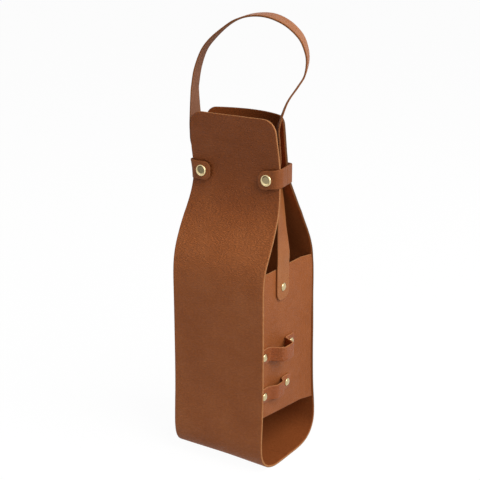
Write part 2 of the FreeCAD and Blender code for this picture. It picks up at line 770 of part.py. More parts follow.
def strap_loft(name, stations):
    """Strap along a smooth line through a list of places, turning evenly from each to the next."""
    line = Part.BSplineCurve()
    line.interpolate([station[0] for station in stations])
    stops = [(line.parameter(place), turn, droop) for place, turn, droop in stations]
    rows = [stops[0]]
    for before, after in zip(stops, stops[1:]):
        for step in range(1, STEPS_BETWEEN_STATIONS + 1):
            share = step / STEPS_BETWEEN_STATIONS
            rows.append([a + share * (b - a) for a, b in zip(before, after)])
    sections = [
        strap_section(f"{name}_section_{index}", line.value(knot), line.tangent(knot)[0], turn, droop)
        for index, (knot, turn, droop) in enumerate(rows)
    ]
    loft = doc.addObject("Part::Loft", name)
    loft.Sections = sections
    loft.Solid = True
    loft.Ruled = False
    return loft


DIAGONAL_SHARE = math.sin(math.radians(45))


def back_inner(across, height):
    """Inner face of the back flap where a strap turned by about 45 degrees has its rear edge."""
    rear = max(abs(across) - size.handle_width / 2 * DIAGONAL_SHARE, 0)
    return back_mid(min(rear, back_at(height)[2]), height) - size.sheet_thick / 2


def turn_to_pass(across, height, wanted):
    """The wanted turn, or more where the gap between the flaps is narrower than the strap."""
    if abs(across) > back_at(height)[2]:
        return wanted
    gap = back_inner(across, height) - front_inner(height)
    room = gap - 2 * size.handle_side_gap - size.handle_thick * DIAGONAL_SHARE
    least = math.degrees(math.acos(min(1, room / size.handle_width)))
    return math.copysign(max(abs(wanted), least), wanted) if wanted else wanted


strand_mid = panel_outer + size.handle_seat_gap + size.handle_thick / 2
flat_heights = (
    size.handle_foot_height,
    (size.handle_foot_height + size.panel_top_height) / 2,
    size.panel_top_height,
)


def strand_stations(side, shares):
    stations = []
    for height in flat_heights:
        stations.append((Vector(side * strand_mid, -size.handle_forward_reach, height), 0, 0))
    for height_share, width_share, gap_share, turn in shares:
        height = size.panel_top_height + height_share * (size.flap_top_height - size.panel_top_height)
        across = side * width_share * half_width
        front = front_inner(height)
        depth = front + gap_share * (back_inner(across, height) - front)
        stations.append((Vector(across, depth, height), turn_to_pass(across, height, turn), 0))
    return stations


loop_stations = [
    (Vector(width_share * size.handle_reach,
            depth_share * size.body_depth / 2,
            size.handle_tilt_height + height_share * size.handle_rise_height), turn, droop)
    for width_share, depth_share, height_share, turn, droop in LOOP_SHARES
]
right_stations = strand_stations(1, RIGHT_STRAND_SHARES)
left_stations = strand_stations(-1, LEFT_STRAND_SHARES)

tilt_axis = Vector(-size.sheet_width, -size.handle_tilt_reach, size.handle_tilt_height)
tilt_room = cylinder("handle_tilt_room", "Sizes.handle_knuckle_radius + Sizes.handle_knuckle_gap",
                     "2 * Sizes.sheet_width", tilt_axis, Vector(1, 0, 0))
for name, side, stations, knuckle in (
    ("right", 1, right_stations, loop_stations[0]),
    ("left", -1, left_stations, loop_stations[-1]),
):
    loft = strap_loft(f"handle_strand_{name}_loft", stations + [knuckle])
    trimmed = cut(f"handle_strand_{name}_trim", loft, [tilt_room])
    hole = cylinder(f"handle_hole_{name}", "Sizes.rivet_shank_radius + Sizes.leather_fit_gap",
                    "Sizes.sheet_width",
                    Vector(0, -size.handle_forward_reach, size.handle_rivet_height), Vector(side, 0, 0))
    tools = [hole]
    for end, across in (("front", -1), ("rear", 1)):
        inset = across * (size.handle_width / 2 - size.handle_foot_corner_radius)
        centre = Vector(side * strand_mid, inset - size.handle_forward_reach,
                        size.handle_foot_height + size.handle_foot_corner_radius)
        tools.append(corner_tool(f"handle_foot_{name}_{end}", "handle_foot_corner_radius", centre,
                                 Vector(0, across, 0), -1))
    keep(f"handle_strand_{name}", cut(f"handle_strand_{name}", trimmed, tools))

loop_loft = strap_loft("handle_loop_loft", right_stations[-1:] + loop_stations + left_stations[-1:])
above = box("handle_above", ("2 * Sizes.sheet_width", "2 * Sizes.body_depth", "2 * Sizes.handle_rise_height"),
            Vector(-size.sheet_width, -size.body_depth, size.handle_tilt_height))
knuckle = cylinder("handle_knuckle", "Sizes.handle_knuckle_radius", "2 * Sizes.sheet_width", tilt_axis,
                   Vector(1, 0, 0))
loop_room = doc.addObject("Part::Fuse", "handle_loop_room")
loop_room.Base = above
loop_room.Tool = knuckle
handle_loop = doc.addObject("Part::Common", "handle_loop")
handle_loop.Base = loop_loft
handle_loop.Tool = loop_room
keep("handle_loop", handle_loop)

# Rivets and snaps, each turned about its own axis, which points out of the leather


def turned(label, profile, seat, outward):
    """Metal piece turned from a half section of radius and height points; a third value bows that edge."""
    body = doc.addObject("PartDesign::Body", f"{label}_body")
    sketch = new_sketch(body, "XZ_Plane", f"{label}_profile")
    outline = []
    for index, (radius, height, *bow) in enumerate(profile):
        start = Vector(radius, height, 0)
        end = Vector(*profile[(index + 1) % len(profile)][:2], 0)
        if bow:
            middle = (start + end) / 2 + Vector(end.y - start.y, start.x - end.x, 0) * bow[0]
            arc = Part.Arc(start, middle, end)
            outline.append(((arc, 1, 2) if bow[0] > 0 else (arc, 2, 1), None))
        else:
            outline.append(((Part.LineSegment(start, end), 1, 2), None))
    join_outline(sketch, outline)
    revolution = body.newObject("PartDesign::Revolution", f"{label}_turn")
    revolution.Profile = sketch
    revolution.ReferenceAxis = (sketch, ["V_Axis"])
    body.Placement = Placement(seat, Rotation(Vector(0, 0, 1), outward))
    return keep(label, body)


DOME_BOW_SHARE = -0.12


def rivet(label, seat, outward, stack):
    """Double-cap rivet: a domed cap with its shank, and a back cap that the shank is pressed into."""
    seat = seat + outward * size.rivet_seat_gap
    stack = stack + 2 * size.rivet_seat_gap
    grip = stack + size.rivet_grip_length
    turned(
        f"{label}_cap",
        (
            (0, size.rivet_height, DOME_BOW_SHARE),
            (size.rivet_radius, size.rivet_rim_height),
            (size.rivet_radius, 0),
            (size.rivet_shank_radius, 0),
            (size.rivet_shank_radius, -grip),
            (0, -grip),
        ),
        seat,
        outward,
    )
    bore = size.rivet_shank_radius + size.metal_fit_gap
    turned(
        f"{label}_back",
        (
            (bore, -stack),
            (bore, -grip - size.metal_fit_gap),
            (0, -grip - size.metal_fit_gap),
            (0, -stack - size.rivet_back_height, -DOME_BOW_SHARE / 2),
            (size.rivet_back_radius, -stack - size.rivet_back_height / 2),
            (size.rivet_back_radius, -stack),
        ),
        seat,
        outward,
    )


for name, side in (("right", 1), ("left", -1)):
    outer_face = strand_mid + size.handle_thick / 2
    rivet(f"handle_rivet_{name}",
          Vector(side * outer_face, -size.handle_forward_reach, size.handle_rivet_height),
          Vector(side, 0, 0),
          size.handle_thick + size.handle_seat_gap + size.panel_thick)
    rivet(f"strap_rivet_{name}",
          Vector(side * anchor_seat.x, anchor_seat.y, size.strap_height),
          Vector(side * anchor_out.x, anchor_out.y, 0), anchor_rivet_stack())

for name, height, _, rear in loop_rivets:
    for end, depth in (("front", loop_front), ("rear", rear)):
        rivet(f"loop_rivet_{name}_{end}",
              Vector(panel_outer + size.keeper_strip_thick, depth, height), Vector(1, 0, 0),
              size.keeper_strip_thick + size.panel_thick)

RIM_BOW_SHARE = -0.25
for name, side in (("right", 1), ("left", -1)):
    front = Vector(0, -1, 0)
    tab_seat = Vector(side * snap_reach, -tab_mid - size.strap_thick / 2, size.strap_height)
    flap_seat = Vector(side * snap_reach, -size.front_neck_reach, size.strap_height)
    tube = size.snap_tube_bore_radius + size.snap_tube_wall_thick
    reach = size.strap_thick + size.snap_socket_thick
    turned(
        f"snap_cap_{name}",
        (
            (0, size.snap_cap_dish_height),
            (size.snap_cap_radius - 2 * size.snap_rim_width, size.snap_cap_dish_height),
            (size.snap_cap_radius - size.snap_rim_width, size.snap_cap_height, RIM_BOW_SHARE),
            (size.snap_cap_radius, 0),
            (tube, 0),
            (tube, -reach),
            (size.snap_tube_bore_radius, -reach),
            (size.snap_tube_bore_radius, 0),
            (0, 0),
        ),
        tab_seat,
        front,
    )
    turned(
        f"snap_socket_{name}",
        (
            (tube + size.metal_fit_gap, -size.strap_thick),
            (tube + size.metal_fit_gap, -reach),
            (size.snap_socket_radius, -reach),
            (size.snap_socket_radius, -size.strap_thick),
        ),
        tab_seat,
        front,
    )
    bore = size.snap_post_radius + size.metal_fit_gap
    turned(
        f"snap_stud_{name}",
        (
            (0, size.snap_stud_thick + size.snap_knob_height),
            (size.snap_knob_radius - size.snap_knob_height / 3, size.snap_stud_thick + size.snap_knob_height),
            (size.snap_knob_radius, size.snap_stud_thick + size.snap_knob_height / 2),
            (size.snap_knob_radius - size.snap_knob_height / 4, size.snap_stud_thick),
            (size.snap_stud_radius, size.snap_stud_thick),
            (size.snap_stud_radius, 0),
            (bore, 0),
            (bore, size.snap_post_grip_length + size.metal_fit_gap),
            (0, size.snap_post_grip_length + size.metal_fit_gap),
        ),
        flap_seat,
        front,
    )
    turned(
        f"snap_post_{name}",
        (
            (0, size.snap_post_grip_length),
            (size.snap_post_radius, size.snap_post_grip_length),
            (size.snap_post_radius, -size.sheet_thick),
            (size.snap_stud_radius, -size.sheet_thick),
            (size.snap_stud_radius, -size.sheet_thick - size.snap_stud_thick),
            (0, -size.sheet_thick - size.snap_stud_thick),
        ),
        flap_seat,
        front,
    )

# Check the whole document, then write one file for each sub-part

doc.recompute()
for item in doc.Objects:
    if any(state in ("Invalid", "Error") for state in item.State):
        raise RuntimeError(f"{item.Label} failed: {item.State}")
for label, item in nodes.items():
    if item.Shape.isNull() or not item.Shape.isValid() or not item.Shape.Solids:
        raise RuntimeError(f"{label} has no valid solid")
    if len(item.Shape.Solids) != 1:
        raise RuntimeError(f"{label} is {len(item.Shape.Solids)} solids")

os.makedirs("parts", exist_ok=True)
for label, item in nodes.items():
    item.Shape.exportStep(f"parts/{label}.step")
print(f"{len(nodes)} sub-parts written")
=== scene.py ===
import bpy
import numpy as np
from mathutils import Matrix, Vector


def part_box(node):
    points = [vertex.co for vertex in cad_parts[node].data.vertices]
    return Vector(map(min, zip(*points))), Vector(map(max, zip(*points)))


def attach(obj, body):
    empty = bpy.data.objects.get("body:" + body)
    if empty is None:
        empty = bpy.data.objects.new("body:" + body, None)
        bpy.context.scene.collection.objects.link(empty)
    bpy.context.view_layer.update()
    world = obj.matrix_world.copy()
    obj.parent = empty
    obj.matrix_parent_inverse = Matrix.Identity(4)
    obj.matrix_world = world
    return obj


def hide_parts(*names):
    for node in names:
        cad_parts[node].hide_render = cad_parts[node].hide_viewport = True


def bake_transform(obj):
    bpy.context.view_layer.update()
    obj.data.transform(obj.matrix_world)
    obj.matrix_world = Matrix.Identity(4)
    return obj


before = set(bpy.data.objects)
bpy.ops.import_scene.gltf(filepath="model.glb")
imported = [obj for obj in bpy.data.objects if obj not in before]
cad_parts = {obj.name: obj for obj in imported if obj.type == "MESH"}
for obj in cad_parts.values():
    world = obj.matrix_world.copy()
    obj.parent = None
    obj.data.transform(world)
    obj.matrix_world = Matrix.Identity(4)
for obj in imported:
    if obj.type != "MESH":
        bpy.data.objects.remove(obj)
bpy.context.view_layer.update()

# Front of the body sheet: half of one long strip of thick cowhide that folds under the base and up both faces.
# It is cut flat and bent, with bare cut edges, a foot that lifts a little to the left and a narrower front flap.
# The two halves of the strip butt under the base, so that each can follow its own flap.

SHEET_THICK = 2.6
SHEET_ROW = 3.5
EDGE_ROUND = 0.45
EDGE_PROFILE = ((0.7, 0.72), (0, 1), (-0.7, 0.72))
SUPPORT = 0.7
LINE_STEPS = 8
GRAIN, EDGE, FLESH = range(3)


def through(places, steps):
    """Smooth line through a list of places, which may carry further values that turn smoothly with it."""
    places = np.array(places, float)
    places = np.vstack([2 * places[0] - places[1], places, 2 * places[-1] - places[-2]])
    t = np.linspace(0, 1, steps, endpoint=False)[:, None]
    runs = [0.5 * (2 * b + (c - a) * t + (2 * a - 5 * b + 4 * c - d) * t ** 2 + (3 * b - a - 3 * c + d) * t ** 3)
            for a, b, c, d in zip(places, places[1:], places[2:], places[3:])]
    return np.vstack(runs + [places[-2:-1]])


def walk(line, stops):
    """Places on a line at given distances along it."""
    reach = np.concatenate(([0], np.cumsum(np.linalg.norm(np.diff(line[:, :3], axis=0), axis=1))))
    return np.stack([np.interp(stops, reach, values) for values in line.T], axis=1)


def row_stops(length, step, first=0, last=0):
    """Distances along a strip that get a row of points, closer together round its end corners."""
    turn = 1 - np.sin(np.radians(np.arange(90, -1, -15)))
    head = first * turn if first else np.array([0, SUPPORT])
    tail = length - (last * turn if last else np.array([0, SUPPORT]))
    return np.unique(np.concatenate([head, np.arange(head[-1] + step, tail.min() - step / 2, step), tail]))


def corner_inset(distance, radius):
    """How far a rounded corner draws the side in, at a distance from the strip's end."""
    short = np.clip(radius - distance, 0, None)
    return radius - np.sqrt(np.clip(radius ** 2 - short ** 2, 0, None))


def shares_across(half, count):
    """Shares of the half width that get a column of points, with one just inside each side."""
    inside = 1 - SUPPORT / half
    return np.concatenate(([-1], np.linspace(-inside, inside, count), [1]))


def cut_leather(name, rows, thick, skins, joined=()):
    """Closed piece of leather round rows of points on its middle surface, in mm, with a slightly rounded cut edge.
    Its grain side faces along the cross product of a row and the way the rows run. joined are its butted ends."""
    rows = np.asarray(rows, float)
    count, wide = rows.shape[:2]
    across, along = np.gradient(rows, axis=1), np.gradient(rows, axis=0)
    out = np.cross(across, along)
    out /= np.linalg.norm(out, axis=2, keepdims=True)
    border = ([(0, c) for c in range(wide)] + [(r, wide - 1) for r in range(1, count)]
              + [(count - 1, c) for c in range(wide - 2, -1, -1)] + [(r, 0) for r in range(count - 2, 0, -1)])
    row, column = np.array(border).T
    edge, normal = rows[row, column], out[row, column]
    aside = np.cross(np.roll(edge, -1, 0) - np.roll(edge, 1, 0), normal)
    round_over = np.full((len(border), 1), EDGE_ROUND)
    for end in joined:
        butted = row == (0 if end == "first" else count - 1)
        round_over[butted & (column > 0) & (column < wide - 1)] = 0
        aside[butted & (column == 0)] = -across[row, column][butted & (column == 0)]
        aside[butted & (column == wide - 1)] = across[row, column][butted & (column == wide - 1)]
    aside /= np.linalg.norm(aside, axis=1, keepdims=True)
    grain = (rows + out * thick / 2).reshape(-1, 3)
    flesh = (rows - out * thick / 2).reshape(-1, 3)
    rings = [edge + normal * thick / 2 * height + aside * round_over * bulge for height, bulge in EDGE_PROFILE]
    cell = np.arange(count * wide).reshape(count, wide)
    faces = np.stack([cell[:-1, :-1], cell[:-1, 1:], cell[1:, 1:], cell[1:, :-1]], axis=2).reshape(-1, 4)
    first_ring = 2 * count * wide
    loops = [cell[row, column]]
    loops += [first_ring + len(border) * ring + np.arange(len(border)) for ring in range(len(rings))]
    loops += [cell[row, column] + count * wide]
    rim = [np.stack([a, b, np.roll(b, -1), np.roll(a, -1)], axis=1) for a, b in zip(loops, loops[1:])]
    mesh = bpy.data.meshes.new(name)
    mesh.from_pydata((np.vstack([grain, flesh] + rings) / 1000).tolist(), [],
                     np.vstack([faces, faces[:, ::-1] + count * wide] + rim).tolist())
    for skin in skins:
        mesh.materials.append(skin)
    kinds = np.repeat([GRAIN, FLESH, GRAIN, EDGE, FLESH],
                      [len(faces), len(faces), len(border), 2 * len(border), len(border)])
    mesh.polygons.foreach_set("material_index", kinds.astype(np.int32))
    mesh.shade_smooth()
    mesh.update()
    piece = bpy.data.objects.new(name, mesh)
    bpy.context.scene.collection.objects.link(piece)
    return piece


def linear(code):
    """Linear RGBA of an sRGB hex colour."""
    values = np.array([int(code[i:i + 2], 16) / 255 for i in (1, 3, 5)])
    values = np.where(values <= 0.04045, values / 12.92, ((values + 0.055) / 1.055) ** 2.4)
    return (*values.tolist(), 1)


def add(tree, kind, inputs=(), steps=(), **settings):
    """New node with its settings, and with its inputs set to values or linked to other nodes' outputs.
    steps are the (place, hex) colours of a ramp."""
    node = tree.nodes.new(kind)
    for name, value in settings.items():
        setattr(node, name, value)
    for index, (place, code) in enumerate(steps):
        ramp = node.color_ramp.elements
        element = ramp[index] if index < len(ramp) else ramp.new(place)
        element.position, element.color = place, linear(code)
    for name, value in dict(inputs).items():
        if isinstance(value, bpy.types.NodeSocket):
            tree.links.new(value, node.inputs[name])
        else:
            node.inputs[name].default_value = value
    return node


def new_material(name):
    """Empty node material and its output node."""
    material = bpy.data.materials.new(name)
    material.use_nodes = True
    material.node_tree.nodes.clear()
    return material, add(material.node_tree, "ShaderNodeOutputMaterial")


PEBBLE = 2.6
PEBBLE_DEPTH = 0.7
PEBBLE_DRAWN = (0.55, 1.2, 1.9)
HIDE_CLOUD = 34
# The first colour below paints the sheet darker towards the neck, painted shade; the second paints the back sheet's
# cut edge darker above the foot, also painted shade.
PAINTED_SHADE_COLOUR = "#E1D8CA"
PAINTED_SHADE_EDGE = 0.3
BELOW_BEND, ABOVE_BEND = 0.06, 0.04
# The first figure deepens the pebble at the bend; the second paints the bend paler, a painted highlight.
BEND_OPENS, PAINTED_BEND_HIGHLIGHT = 1.6, 1.13
FIBRE = 1.2
FIBRE_DEPTH = 0.2
NAP = 1.6


def pebbled_cowhide(name, dark, mid, light, roughness, relief, darkens=None):
    """Drum-dyed cowhide with an embossed pebble: a soft satin sheen broken by shallow cells that are drawn out
    sideways, with painted shade in their creases, and colour that drifts a little over the hide. The real pebble is
    about 1.2 mm and is drawn coarser, so that it shows. relief is how deep it is left, and darkens are the heights in
    m between which the hide is painted darker, painted shade. The hide is bent there, which opens its pebble, and
    its colour there is painted paler, a painted highlight."""
    material, output = new_material(name)
    tree = material.node_tree
    place = add(tree, "ShaderNodeTexCoord").outputs["Object"]
    cloud = add(tree, "ShaderNodeTexNoise", {"Vector": place, "Scale": 1000 / HIDE_CLOUD, "Detail": 3})
    drawn = add(tree, "ShaderNodeVectorMath", {0: place, 1: PEBBLE_DRAWN}, operation="MULTIPLY")
    pebble = add(tree, "ShaderNodeTexVoronoi", {"Vector": drawn.outputs[0], "Scale": 1000 / PEBBLE,
                                                "Randomness": 0.9}, feature="DISTANCE_TO_EDGE")
    dome = add(tree, "ShaderNodeMapRange", {"Value": pebble.outputs[0], "From Max": 0.32},
               interpolation_type="SMOOTHSTEP")
    wrinkle = add(tree, "ShaderNodeTexNoise", {"Vector": drawn.outputs[0], "Scale": 1000 / (3 * PEBBLE), "Detail": 4})
    hide = add(tree, "ShaderNodeValToRGB", {0: cloud.outputs[0]}, steps=((0.32, dark), (0.5, mid), (0.68, light)))
    # Painted shade in the pebble's creases, and a faint painted highlight on its tops.
    painted_crease_shade = add(tree, "ShaderNodeMapRange", {"Value": dome.outputs[0], "To Min": 0.88, "To Max": 1.03})
    shade = add(tree, "ShaderNodeVectorMath", {0: hide.outputs[0], 1: painted_crease_shade.outputs[0]}, operation="MULTIPLY")
    opened = relief
    if darkens:
        level = add(tree, "ShaderNodeSeparateXYZ", {0: place}).outputs["Z"]
        painted_shade = add(tree, "ShaderNodeMapRange", {"Value": level, "From Min": darkens[0], "From Max": darkens[1]},
                      interpolation_type="SMOOTHSTEP")
        # Painted shade: the hide is drawn darker towards the neck.
        tint = add(tree, "ShaderNodeValToRGB", {0: painted_shade.outputs[0]}, steps=((0, "#FFFFFF"), (1, PAINTED_SHADE_COLOUR)))
        shade = add(tree, "ShaderNodeVectorMath", {0: shade.outputs[0], 1: tint.outputs[0]}, operation="MULTIPLY")
        near = add(tree, "ShaderNodeMapRange", {"Value": level, "From Min": darkens[0] - BELOW_BEND,
                                                "From Max": darkens[1] + ABOVE_BEND})
        bent = add(tree, "ShaderNodeValToRGB", {0: near.outputs[0]}, steps=(
            (0, "#000000"), (0.3, "#FFFFFF"), (0.6, "#FFFFFF"), (1, "#000000"))).outputs[0]
        opened = add(tree, "ShaderNodeMapRange", {"Value": bent, "To Min": relief,
                                                  "To Max": BEND_OPENS * relief}).outputs[0]
        # Painted highlight: the bend is drawn paler.
        paler = add(tree, "ShaderNodeMapRange", {"Value": bent, "To Min": 1, "To Max": PAINTED_BEND_HIGHLIGHT})
        shade = add(tree, "ShaderNodeVectorMath", {0: shade.outputs[0], 1: paler.outputs[0]}, operation="MULTIPLY")
    height = add(tree, "ShaderNodeMath", {0: wrinkle.outputs[0], 1: 0.8, 2: dome.outputs[0]},
                 operation="MULTIPLY_ADD")
    bump = add(tree, "ShaderNodeBump", {"Height": height.outputs[0], "Strength": opened,
                                        "Distance": PEBBLE_DEPTH / 1000})
    worn = add(tree, "ShaderNodeMapRange", {"Value": wrinkle.outputs[0], "From Min": 0.3, "From Max": 0.7,
                                            "To Min": roughness - 0.05, "To Max": roughness + 0.06})
    skin = add(tree, "ShaderNodeBsdfPrincipled", {"Base Color": shade.outputs[0], "Roughness": worn.outputs[0],
                                                  "Normal": bump.outputs[0], "IOR": 1.5,
                                                  "Specular IOR Level": 0.25})
    tree.links.new(skin.outputs[0], output.inputs["Surface"])
    return material


def bare_leather(name, dark, light, grain_size, roughness, darkens=None):
    """Leather without its grain side: the cut edge shows pale packed fibre and the flesh side a short matt nap.
    The fibres are far finer than this and are drawn coarser, so that they show. darkens are the heights in m
    between which it is painted darker, painted shade."""
    material, output = new_material(name)
    tree = material.node_tree
    place = add(tree, "ShaderNodeTexCoord").outputs["Object"]
    fibre = add(tree, "ShaderNodeTexNoise", {"Vector": place, "Scale": 1000 / grain_size, "Detail": 5,
                                             "Roughness": 0.65})
    colour = add(tree, "ShaderNodeValToRGB", {0: fibre.outputs[0]}, steps=((0.33, dark), (0.67, light)))
    if darkens:
        height = add(tree, "ShaderNodeSeparateXYZ", {0: place}).outputs["Z"]
        # Painted shade: the edge is drawn darker above the lower height.
        painted_shade = add(tree, "ShaderNodeMapRange", {"Value": height, "From Min": darkens[0], "From Max": darkens[1],
                                                   "To Min": 1, "To Max": PAINTED_SHADE_EDGE})
        colour = add(tree, "ShaderNodeVectorMath", {0: colour.outputs[0], 1: painted_shade.outputs[0]},
                     operation="MULTIPLY")
    bump = add(tree, "ShaderNodeBump", {"Height": fibre.outputs[0], "Strength": 0.4, "Distance": FIBRE_DEPTH / 1000})
    skin = add(tree, "ShaderNodeBsdfPrincipled", {"Base Color": colour.outputs[0], "Roughness": roughness, "IOR": 1.5,
                                                  "Specular IOR Level": 0.1, "Normal": bump.outputs[0]})
    tree.links.new(skin.outputs[0], output.inputs["Surface"])
    return material


# The sheet is painted darker towards the neck, painted shade, and paler at the shoulder's bend, a painted highlight.
sheet_grain = pebbled_cowhide("pebbled_cowhide", "#9C5627", "#A25B2C", "#A86132", 0.55, 0.4125, darkens=(0.236, 0.28))
cut_edge = bare_leather("cut_cowhide_edge", "#A96C3F", "#C28C5E", FIBRE, 0.75)
flesh_side = bare_leather("cowhide_flesh_side", "#88471F", "#9C552A", NAP, 0.88)
sheet_skins = (sheet_grain, cut_edge, flesh_side)

FRONT_CORNER = 12
FRONT_COLUMNS = 13
FOOT_BEND = 33
FOOT_LIFT = ((-50, 0), (-40, 1.9), (-26, 1.9), (-10, 0))
LIFT_ACROSS = ((0.1, 1), (1, 0))
# Depth and height of the strip's middle, from under the base to the flap's top, then half widths by height, in mm.
FRONT_LINE = ((0, 1.3), (-8, 1.3), (-16, 1.4), (-24, 2), (-32, 4), (-40.1, 7.8), (-46.5, 14), (-50.1, 22),
              (-51.3, 31.5), (-51.2, 42), (-50.5, 56), (-49.6, 75), (-49.2, 100), (-49.2, 130), (-49.3, 160),
              (-49.5, 180), (-49.6, 196), (-48.8, 208), (-46.3, 219.5), (-41.5, 231), (-36, 242), (-30.3, 253),
              (-24.7, 263.5), (-20.3, 274), (-17.3, 285), (-16, 297), (-16.4, 309), (-18.5, 322), (-20.7, 336),
              (-22.3, 349), (-23.4, 361))
FRONT_HALF = ((0, 53), (4, 53), (30, 53.4), (60, 53.6), (190, 53.5), (205, 53.6), (218, 54), (230, 54.6),
              (243, 54.7), (255, 54.2), (266, 53.2), (277, 52), (290, 50.9), (301, 50.6), (312, 51), (325, 51),
              (340, 50.2), (360, 48.6))
front_line = through(FRONT_LINE, LINE_STEPS)
front_length = np.linalg.norm(np.diff(front_line, axis=0), axis=1).sum() - EDGE_ROUND
front_stops = row_stops(front_length, SHEET_ROW, last=FRONT_CORNER)
front_rows = []
for (depth, height), stop in zip(walk(front_line, front_stops), front_stops):
    half = np.interp(height, *zip(*FRONT_HALF)) - EDGE_ROUND - corner_inset(front_length - stop, FRONT_CORNER)
    lift = np.interp(depth, *zip(*FOOT_LIFT)) if height < FOOT_BEND else 0
    front_rows.append([(half * share, depth, height + lift * np.interp(share, *zip(*LIFT_ACROSS)))
                       for share in shares_across(half, FRONT_COLUMNS)])
front_sheet = cut_leather("front_sheet", front_rows, SHEET_THICK, sheet_skins, joined=("first",))
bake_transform(front_sheet)
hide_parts("body_sheet", "front_flap")

# Back of the body sheet: the other half of the cowhide strip, bent like the front but with a fuller foot.
# Above the shoulder it bows round the neck, so its side edges come forward and its top shows its flesh side.
# Its cut edge is painted darker above the foot, painted shade.

BACK_CORNER = 8
BACK_COLUMNS = 19
WAIST_HEIGHT, WAIST_LENGTH, WAIST_DEPTH = 301, 13, 2
BOW_START = 200
LEFT_EASE = ((300, 1), (330, 0.85))
BACK_LINE = ((0, 1.3), (8, 1.3), (16, 1.3), (24, 1.5), (32, 2.4), (40, 4.7), (47.2, 9), (52.6, 16), (55.2, 24),
             (55.5, 33), (54.6, 44), (53.1, 56), (51.6, 72), (50.6, 92), (50, 114), (49.8, 137), (49.7, 160),
             (49.7, 180), (49.4, 192), (48.6, 203), (46, 217), (40, 232), (32, 247), (24.4, 262), (19.3, 276),
             (15.6, 290), (14, 312), (13.6, 326), (13.1, 344), (12.6, 361.2))
BACK_HALF = ((0, 53), (130, 53), (168, 52.3), (205, 52.2), (225, 52.7), (240, 52.6), (262, 51.8), (301, 50.5),
             (360, 48.2))
BACK_BOW = ((204.3, 0.06), (232, 0.3), (260.9, 1.1), (276, 4.45), (290, 7.1), (312, 11.6), (326, 13.2), (344, 13.85),
            (362.5, 14.7))
back_line = through(BACK_LINE, LINE_STEPS)
back_length = np.linalg.norm(np.diff(back_line, axis=0), axis=1).sum() - EDGE_ROUND
back_stops = row_stops(back_length, SHEET_ROW, last=BACK_CORNER)
back_rows = []
for (depth, height), stop in zip(walk(back_line, back_stops), back_stops):
    waist = WAIST_DEPTH * np.exp(-((height - WAIST_HEIGHT) / WAIST_LENGTH) ** 2)
    flat = np.interp(height, *zip(*BACK_HALF)) - waist
    bow = np.interp(height, *zip(*BACK_BOW)) if height > BOW_START else 0
    chord = flat - 2 * bow ** 2 / (3 * flat)
    half = chord - EDGE_ROUND - corner_inset(back_length - stop, BACK_CORNER)
    left_ease = np.interp(height, *zip(*LEFT_EASE))
    back_rows.append([(-half * share, depth - bow * (left_ease if share > 0 else 1) * (half * share / chord) ** 2,
                       height) for share in shares_across(half, BACK_COLUMNS)])
# Painted shade: this cut edge is drawn darker above the foot.
back_edge = bare_leather("cowhide_edge_painted_shade", "#A96C3F", "#C28C5E", FIBRE, 0.75, darkens=(0.012, 0.05))
back_skins = (sheet_grain, back_edge, flesh_side)
back_sheet = cut_leather("back_sheet", back_rows, SHEET_THICK, back_skins, joined=("first",))
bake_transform(back_sheet)
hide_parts("back_flap")

# Side panels: a thinner piece of the same cowhide closes each side between foot and shoulder.
# It curves out at both ends into a narrow flange that is glued to the sheet's inner faces.

PANEL_THICK = 2
PANEL_TOP = 211
PANEL_ROW, PANEL_COLUMN = 4, 2.5
PANEL_EDGE = 47.2
PANEL_FLAT = 20
PANEL_CORNERS = ((51.5, -PANEL_EDGE), (47, -PANEL_EDGE), (46.9, 33), (51.2, PANEL_EDGE))
PANEL_BENDS = (2.6, 14)
PANEL_LOW = ((-51, 61), (51, 49))


def bend_line(corners, radii, step):
    """Side view of a bent strip, in mm: straight runs with each corner rounded to its radius."""
    corners = [np.array(corner, float) for corner in corners]
    line = [corners[0]]
    for before, corner, after, radius in zip(corners, corners[1:], corners[2:], radii):
        back = (before - corner) / np.linalg.norm(before - corner)
        ahead = (after - corner) / np.linalg.norm(after - corner)
        half = np.arccos(np.clip(back @ ahead, -1, 1)) / 2
        sweep = np.pi - 2 * half
        centre = corner + (back + ahead) / np.linalg.norm(back + ahead) * radius / np.sin(half)
        start, end = (corner + side * radius / np.tan(half) - centre for side in (back, ahead))
        for share in np.linspace(0, 1, 2 + int(sweep * radius / step)):
            line.append(centre + (np.sin((1 - share) * sweep) * start + np.sin(share * sweep) * end) / np.sin(sweep))
    return np.array(line + [corners[-1]])


panel_line = bend_line(PANEL_CORNERS, PANEL_BENDS, step=1)
panel_length = np.linalg.norm(np.diff(panel_line, axis=0), axis=1).sum()
panel_plan = walk(panel_line, row_stops(panel_length, PANEL_COLUMN))


def between_sheets(depth, height):
    """Depth of a point of the panel, whose ends follow the sheet's two faces from the foot to the shoulder."""
    wall = back_line if depth > 0 else front_line
    wall = wall[wall[:, 1] > FOOT_BEND]
    room = np.interp(height, wall[:, 1], np.abs(wall[:, 0])) - SHEET_THICK / 2 - PANEL_THICK / 2
    return np.sign(depth) * np.interp(abs(depth), (0, PANEL_FLAT, PANEL_EDGE), (0, PANEL_FLAT, room))


for name, side in (("right", 1), ("left", -1)):
    panel_rows = []
    bottoms = np.interp(panel_plan[:, 1], *zip(*PANEL_LOW)) + EDGE_ROUND
    for share in row_stops(PANEL_TOP, PANEL_ROW) / PANEL_TOP:
        heights = bottoms + share * (PANEL_TOP - EDGE_ROUND - bottoms)
        row = [(side * reach, between_sheets(depth, height), height)
               for (reach, depth), height in zip(panel_plan, heights)]
        panel_rows.append(row if side > 0 else row[::-1])
    panel = cut_leather(f"side_panel_{name}_hide", panel_rows, PANEL_THICK, sheet_skins)
    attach(panel, "carrier")
    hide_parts(f"side_panel_{name}")

# Opener loops: two short straps of the same cowhide on the right panel, for an opener to hang in.
# Each is riveted flat at both ends and stands off the panel between them.

